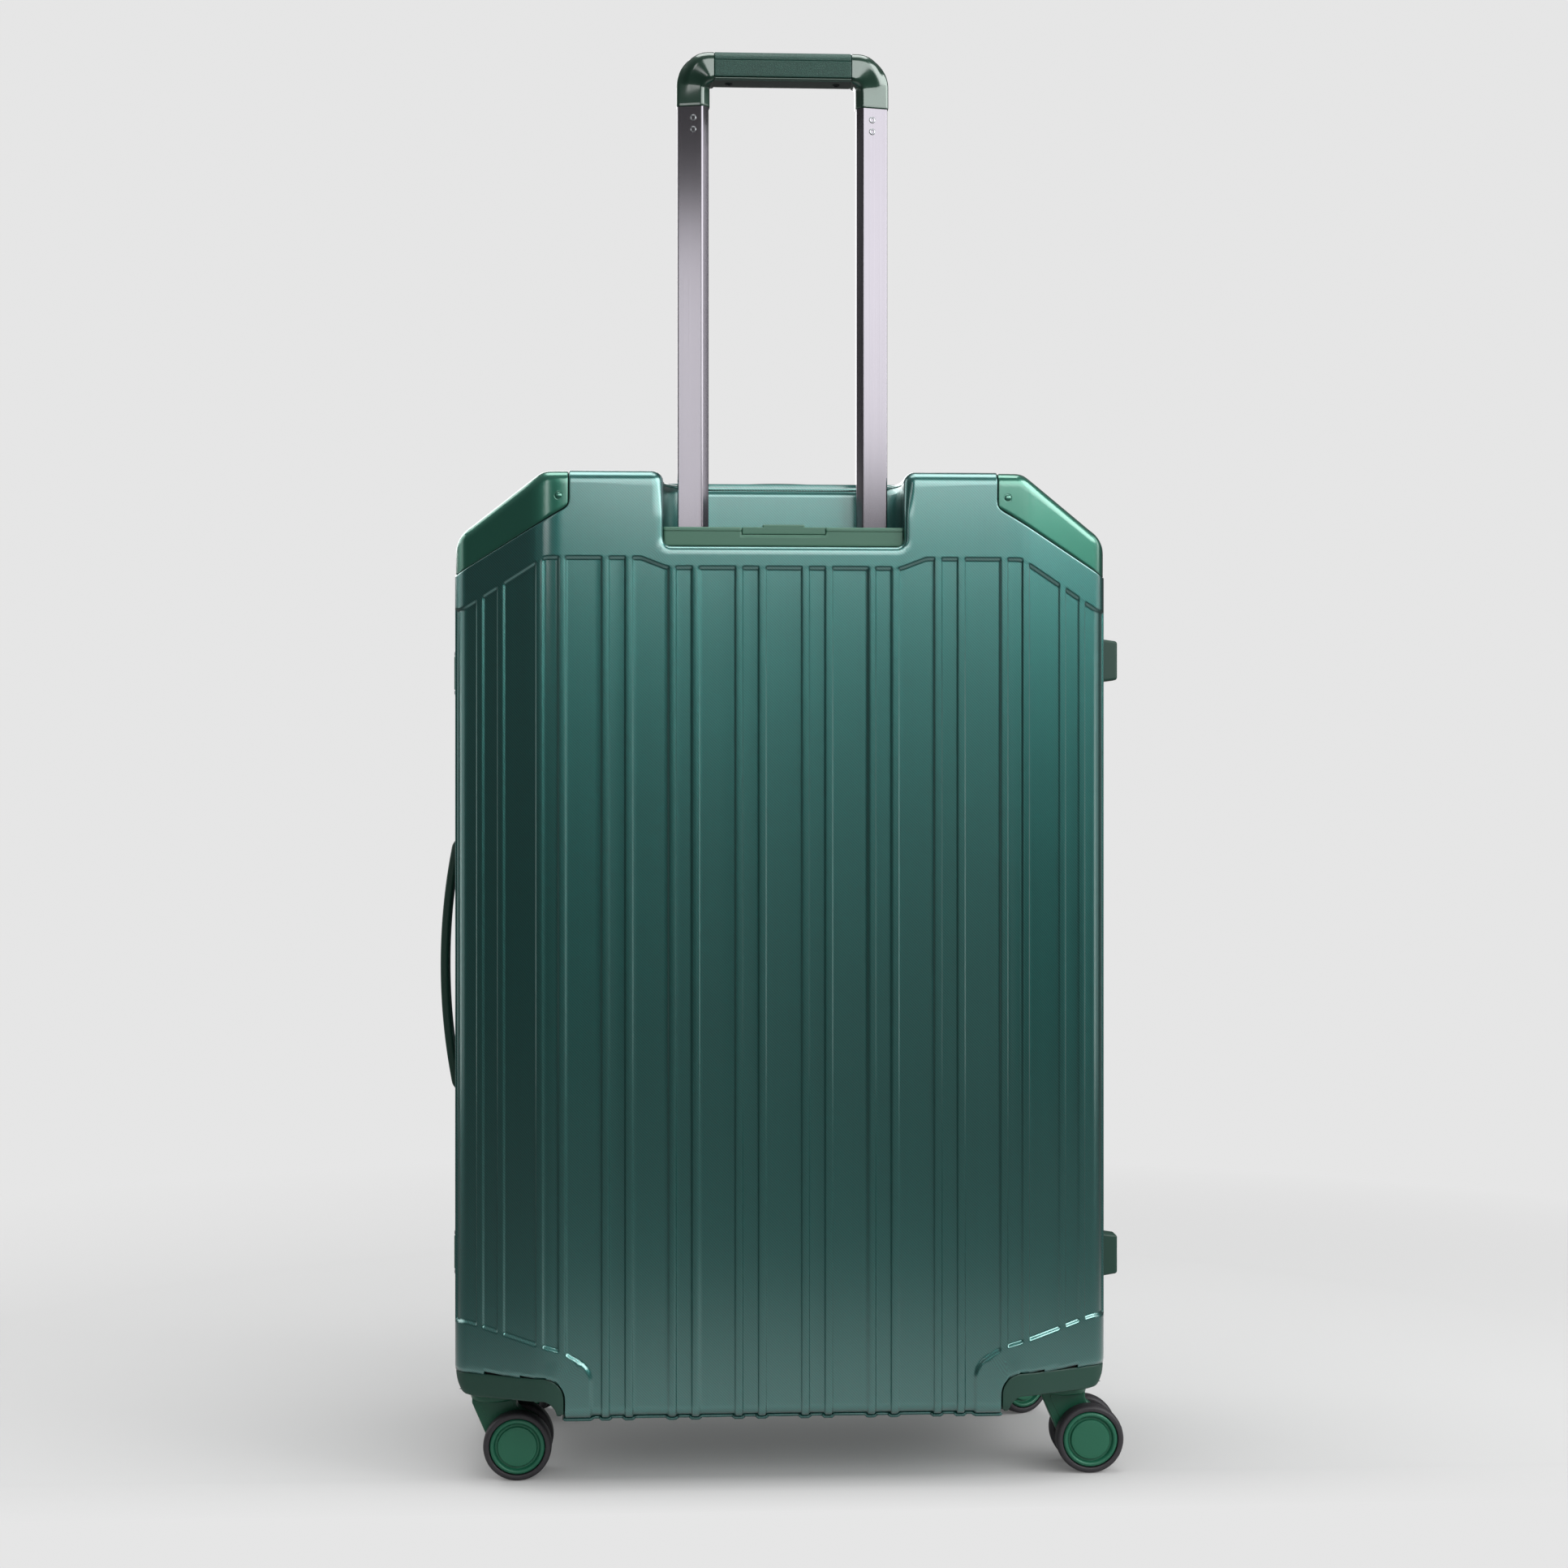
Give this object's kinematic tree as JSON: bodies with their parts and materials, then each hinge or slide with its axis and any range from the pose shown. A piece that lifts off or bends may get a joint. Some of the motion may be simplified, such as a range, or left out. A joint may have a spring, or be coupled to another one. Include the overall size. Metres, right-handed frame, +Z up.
{
  "type": "hard shell suitcase on wheels",
  "caption": "Upright hard shell suitcase with ribbed shells, an aluminium closing frame, swivelling twin-wheel casters, a pull-out trolley and sprung carry handles.",
  "frame": {"origin": "on the floor under the middle of the case: all four casters' wheels stand on z = 0", "axes": "+Z up; -Y is the back, the trolley's side; +Y is the front, the opening half; -X is the side with the latches and the carry handle; +X is the side with the hinges and the feet"},
  "size_m": [0.476, 0.284, 0.9772],
  "materials": {
    "shell": "satin, with a fine twill texture",
    "trim": "smooth satin",
    "corner_guard": "smooth satin",
    "bezel": "satin",
    "grip_cover": "fine grain, synthetic",
    "aluminium": "satin anodised",
    "steel": "satin",
    "tyre": "matt",
    "seal": "matt"
  },
  "bodies": {
    "back_half": {"back_shell": "shell", "back_frame_rail": "aluminium", "frame_seal": "seal", "corner_guard_back_left": "corner_guard", "corner_guard_back_right": "corner_guard", "wheel_housing_back_left": "trim", "wheel_housing_back_right": "trim", "trolley_outer_tube_left": "aluminium", "trolley_outer_tube_right": "aluminium", "trolley_base_bezel": "bezel", "trolley_base_insert": "bezel", "side_foot_back_lower": "trim", "side_foot_back_upper": "trim", "latch_base_lower": "steel", "latch_base_upper": "steel", "hinge_leaf_back_lower": "steel", "hinge_leaf_back_upper": "steel"},
    "front_half": {"front_shell": "shell", "front_frame_rail": "aluminium", "corner_guard_front_left": "corner_guard", "corner_guard_front_right": "corner_guard", "wheel_housing_front_left": "trim", "wheel_housing_front_right": "trim", "side_foot_front_lower": "trim", "side_foot_front_upper": "trim", "hinge_leaf_front_lower": "steel", "hinge_leaf_front_upper": "steel"},
    "trolley": {"trolley_inner_tube_left": "aluminium", "trolley_inner_tube_right": "aluminium", "grip_frame": "trim", "grip_wrap": "grip_cover"},
    "release_button": {"release_button": "trim"},
    "top_handle": {"top_handle": "trim"},
    "side_handle": {"side_handle": "trim"},
    "latch_lever_lower": {"latch_lever_lower": "trim"},
    "latch_lever_upper": {"latch_lever_upper": "trim"},
    "caster_back_left": {"caster_fork_back_left": "trim", "caster_axle_back_left": "steel"},
    "wheel_back_left_a": {"wheel_hub_back_left_a": "trim", "tyre_back_left_a": "tyre"},
    "wheel_back_left_b": {"wheel_hub_back_left_b": "trim", "tyre_back_left_b": "tyre"},
    "caster_back_right": {"caster_fork_back_right": "trim", "caster_axle_back_right": "steel"},
    "wheel_back_right_a": {"wheel_hub_back_right_a": "trim", "tyre_back_right_a": "tyre"},
    "wheel_back_right_b": {"wheel_hub_back_right_b": "trim", "tyre_back_right_b": "tyre"},
    "caster_front_left": {"caster_fork_front_left": "trim", "caster_axle_front_left": "steel"},
    "wheel_front_left_a": {"wheel_hub_front_left_a": "trim", "tyre_front_left_a": "tyre"},
    "wheel_front_left_b": {"wheel_hub_front_left_b": "trim", "tyre_front_left_b": "tyre"},
    "caster_front_right": {"caster_fork_front_right": "trim", "caster_axle_front_right": "steel"},
    "wheel_front_right_a": {"wheel_hub_front_right_a": "trim", "tyre_front_right_a": "tyre"},
    "wheel_front_right_b": {"wheel_hub_front_right_b": "trim", "tyre_front_right_b": "tyre"}
  },
  "joints": [
    {"name": "lid_hinge", "type": "hinge", "parent": "back_half", "child": "front_half", "pos_m": [0.2298, 0, 0.35], "axis": [0, 0, -1], "range_deg": [0, 160]},
    {"name": "trolley_slide", "type": "slide", "parent": "back_half", "child": "trolley", "axis": [0, 0, 1], "range_m": [-0.2875, 0]},
    {"name": "release_button_press", "type": "slide", "parent": "trolley", "child": "release_button", "axis": [0, 0, -1], "range_m": [0, 0.0025], "stiffness_N_per_m": 1200, "springref_m": -0.001},
    {"name": "top_handle_lift", "type": "slide", "parent": "back_half", "child": "top_handle", "axis": [0, 0, 1], "range_m": [0, 0.008], "stiffness_N_per_m": 2000, "springref_m": -0.002},
    {"name": "side_handle_lift", "type": "slide", "parent": "back_half", "child": "side_handle", "axis": [-1, 0, 0], "range_m": [0, 0.008], "stiffness_N_per_m": 2000, "springref_m": -0.002},
    {"name": "latch_lower_hinge", "type": "hinge", "parent": "back_half", "child": "latch_lever_lower", "pos_m": [-0.2294, -0.016, 0.141], "axis": [0, 0, 1], "range_deg": [0, 75]},
    {"name": "latch_upper_hinge", "type": "hinge", "parent": "back_half", "child": "latch_lever_upper", "pos_m": [-0.2294, -0.016, 0.558], "axis": [0, 0, 1], "range_deg": [0, 75]},
    {"name": "caster_back_left_swivel", "type": "hinge", "parent": "back_half", "child": "caster_back_left", "pos_m": [-0.198, -0.087, 0.055], "axis": [0, 0, 1], "continuous": true},
    {"name": "wheel_back_left_a_spin", "type": "hinge", "parent": "caster_back_left", "child": "wheel_back_left_a", "pos_m": [-0.1815, -0.087, 0.0235], "axis": [0, 1, 0], "continuous": true},
    {"name": "wheel_back_left_b_spin", "type": "hinge", "parent": "caster_back_left", "child": "wheel_back_left_b", "pos_m": [-0.1815, -0.087, 0.0235], "axis": [0, 1, 0], "continuous": true},
    {"name": "caster_back_right_swivel", "type": "hinge", "parent": "back_half", "child": "caster_back_right", "pos_m": [0.198, -0.087, 0.055], "axis": [0, 0, 1], "continuous": true},
    {"name": "wheel_back_right_a_spin", "type": "hinge", "parent": "caster_back_right", "child": "wheel_back_right_a", "pos_m": [0.2145, -0.087, 0.0235], "axis": [0, 1, 0], "continuous": true},
    {"name": "wheel_back_right_b_spin", "type": "hinge", "parent": "caster_back_right", "child": "wheel_back_right_b", "pos_m": [0.2145, -0.087, 0.0235], "axis": [0, 1, 0], "continuous": true},
    {"name": "caster_front_left_swivel", "type": "hinge", "parent": "front_half", "child": "caster_front_left", "pos_m": [-0.198, 0.087, 0.055], "axis": [0, 0, 1], "continuous": true},
    {"name": "wheel_front_left_a_spin", "type": "hinge", "parent": "caster_front_left", "child": "wheel_front_left_a", "pos_m": [-0.18249, 0.08136, 0.0235], "axis": [0.342, 0.9397, 0], "continuous": true},
    {"name": "wheel_front_left_b_spin", "type": "hinge", "parent": "caster_front_left", "child": "wheel_front_left_b", "pos_m": [-0.18249, 0.08136, 0.0235], "axis": [0.342, 0.9397, 0], "continuous": true},
    {"name": "caster_front_right_swivel", "type": "hinge", "parent": "front_half", "child": "caster_front_right", "pos_m": [0.198, 0.087, 0.055], "axis": [0, 0, 1], "continuous": true},
    {"name": "wheel_front_right_a_spin", "type": "hinge", "parent": "caster_front_right", "child": "wheel_front_right_a", "pos_m": [0.18371, 0.07875, 0.0235], "axis": [0.5, -0.866, 0], "continuous": true},
    {"name": "wheel_front_right_b_spin", "type": "hinge", "parent": "caster_front_right", "child": "wheel_front_right_b", "pos_m": [0.18371, 0.07875, 0.0235], "axis": [0.5, -0.866, 0], "continuous": true}
  ]
}
